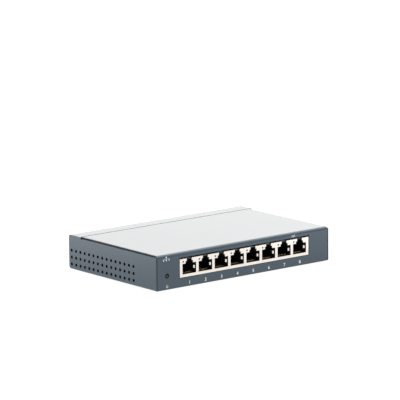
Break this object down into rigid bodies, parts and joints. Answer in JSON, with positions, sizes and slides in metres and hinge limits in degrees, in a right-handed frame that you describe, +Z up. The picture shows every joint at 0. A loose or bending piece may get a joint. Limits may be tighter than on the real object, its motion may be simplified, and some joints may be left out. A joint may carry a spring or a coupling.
{
  "type": "desktop network switch",
  "caption": "Slim folded-steel desktop network switch with a shielded row of modular sockets in front, side vents, a front power lamp and a rear barrel power inlet.",
  "frame": {"origin": "on the floor under the middle of the case, at the underside of the feet", "axes": "+X to the right when facing the sockets, +Y towards the rear with the power inlet, +Z up"},
  "size_m": [0.158, 0.1011, 0.0262],
  "materials": {
    "case_paint": "fine satin powder coat, dark slate blue",
    "zinc_screw": "zinc plated",
    "foot_rubber": "matt black",
    "label_stock": "blank satin film",
    "nickel_post": "nickel plated",
    "board_laminate": "green solder mask",
    "socket_black": "black glass-filled moulding",
    "tin_plate": "bright tin plated sheet",
    "gold_wire": "gold flashed wire",
    "pipe_clear": "clear moulded light guide, unlit",
    "lamp_body": "pale resin lamp",
    "lamp_green": "tinted green lens, unlit",
    "holder_black": "black moulding",
    "tin_lead": "tinned",
    "inlet_black": "black moulding",
    "spring_bronze": "tinned bronze",
    "chip_epoxy": "black moulded epoxy",
    "pad_grey": "soft gap filler",
    "sink_aluminium": "black anodised",
    "transformer_black": "black moulded shell",
    "ferrite": "dark grey ferrite",
    "crystal_can": "drawn can",
    "capacitor_can": "black shrink sleeve",
    "fuse_green": "moulded strip",
    "disc_blue": "dipped coating",
    "resistor_body": "black glaze",
    "ceramic_body": "tan ceramic"
  },
  "bodies": {
    "case": {"base_tray": "case_paint", "top_cover": "case_paint", "cover_screws": "zinc_screw", "rubber_feet": "foot_rubber", "rating_label": "label_stock", "board_posts": "nickel_post", "board_screws": "zinc_screw", "circuit_board": "board_laminate", "socket_housing": "socket_black", "socket_shield": "tin_plate", "wire_carriers": "socket_black", "contact_tails": "gold_wire", "port_light_pipes": "pipe_clear", "port_lamps": "lamp_body", "power_lamp": "lamp_green", "lamp_holder": "holder_black", "power_lamp_leads": "tin_lead", "inlet_housing": "inlet_black", "inlet_pin": "nickel_post", "inlet_terminals": "spring_bronze", "switch_chip": "chip_epoxy", "switch_chip_leads": "tin_lead", "thermal_pad": "pad_grey", "heatsink": "sink_aluminium", "transformers": "transformer_black", "transformer_leads": "tin_lead", "power_inductors": "ferrite", "inductor_cores": "ferrite", "buck_regulators": "chip_epoxy", "settings_memory": "chip_epoxy", "clock_crystal": "crystal_can", "bulk_capacitors": "capacitor_can", "input_diode": "chip_epoxy", "input_fuse": "fuse_green", "chassis_capacitor": "disc_blue", "chip_resistors": "resistor_body", "chip_capacitors": "ceramic_body"},
    "inlet_contact": {"inlet_leaf": "spring_bronze"},
    "socket_contacts_1": {"contact_springs_1": "gold_wire"},
    "socket_contacts_2": {"contact_springs_2": "gold_wire"},
    "socket_contacts_3": {"contact_springs_3": "gold_wire"},
    "socket_contacts_4": {"contact_springs_4": "gold_wire"},
    "socket_contacts_5": {"contact_springs_5": "gold_wire"},
    "socket_contacts_6": {"contact_springs_6": "gold_wire"},
    "socket_contacts_7": {"contact_springs_7": "gold_wire"},
    "socket_contacts_8": {"contact_springs_8": "gold_wire"}
  },
  "joints": [
    {"name": "socket_contacts_1_flex", "type": "hinge", "parent": "case", "child": "socket_contacts_1", "pos_m": [-0.04951, -0.04697, 0.01082], "axis": [-1, 0, 0], "range_deg": [0, 8], "stiffness_Nm_per_rad": 0.3},
    {"name": "socket_contacts_2_flex", "type": "hinge", "parent": "case", "child": "socket_contacts_2", "pos_m": [-0.03508, -0.04697, 0.01082], "axis": [-1, 0, 0], "range_deg": [0, 8], "stiffness_Nm_per_rad": 0.3},
    {"name": "socket_contacts_3_flex", "type": "hinge", "parent": "case", "child": "socket_contacts_3", "pos_m": [-0.02065, -0.04697, 0.01082], "axis": [-1, 0, 0], "range_deg": [0, 8], "stiffness_Nm_per_rad": 0.3},
    {"name": "socket_contacts_4_flex", "type": "hinge", "parent": "case", "child": "socket_contacts_4", "pos_m": [-0.00622, -0.04697, 0.01082], "axis": [-1, 0, 0], "range_deg": [0, 8], "stiffness_Nm_per_rad": 0.3},
    {"name": "socket_contacts_5_flex", "type": "hinge", "parent": "case", "child": "socket_contacts_5", "pos_m": [0.00822, -0.04697, 0.01082], "axis": [-1, 0, 0], "range_deg": [0, 8], "stiffness_Nm_per_rad": 0.3},
    {"name": "socket_contacts_6_flex", "type": "hinge", "parent": "case", "child": "socket_contacts_6", "pos_m": [0.02264, -0.04697, 0.01082], "axis": [-1, 0, 0], "range_deg": [0, 8], "stiffness_Nm_per_rad": 0.3},
    {"name": "socket_contacts_7_flex", "type": "hinge", "parent": "case", "child": "socket_contacts_7", "pos_m": [0.03707, -0.04697, 0.01082], "axis": [-1, 0, 0], "range_deg": [0, 8], "stiffness_Nm_per_rad": 0.3},
    {"name": "socket_contacts_8_flex", "type": "hinge", "parent": "case", "child": "socket_contacts_8", "pos_m": [0.05151, -0.04697, 0.01082], "axis": [-1, 0, 0], "range_deg": [0, 8], "stiffness_Nm_per_rad": 0.3},
    {"name": "inlet_contact_flex", "type": "hinge", "parent": "case", "child": "inlet_contact", "pos_m": [-0.06, 0.0412, 0.0101], "axis": [-1, 0, 0], "range_deg": [0, 7], "stiffness_Nm_per_rad": 0.2}
  ]
}
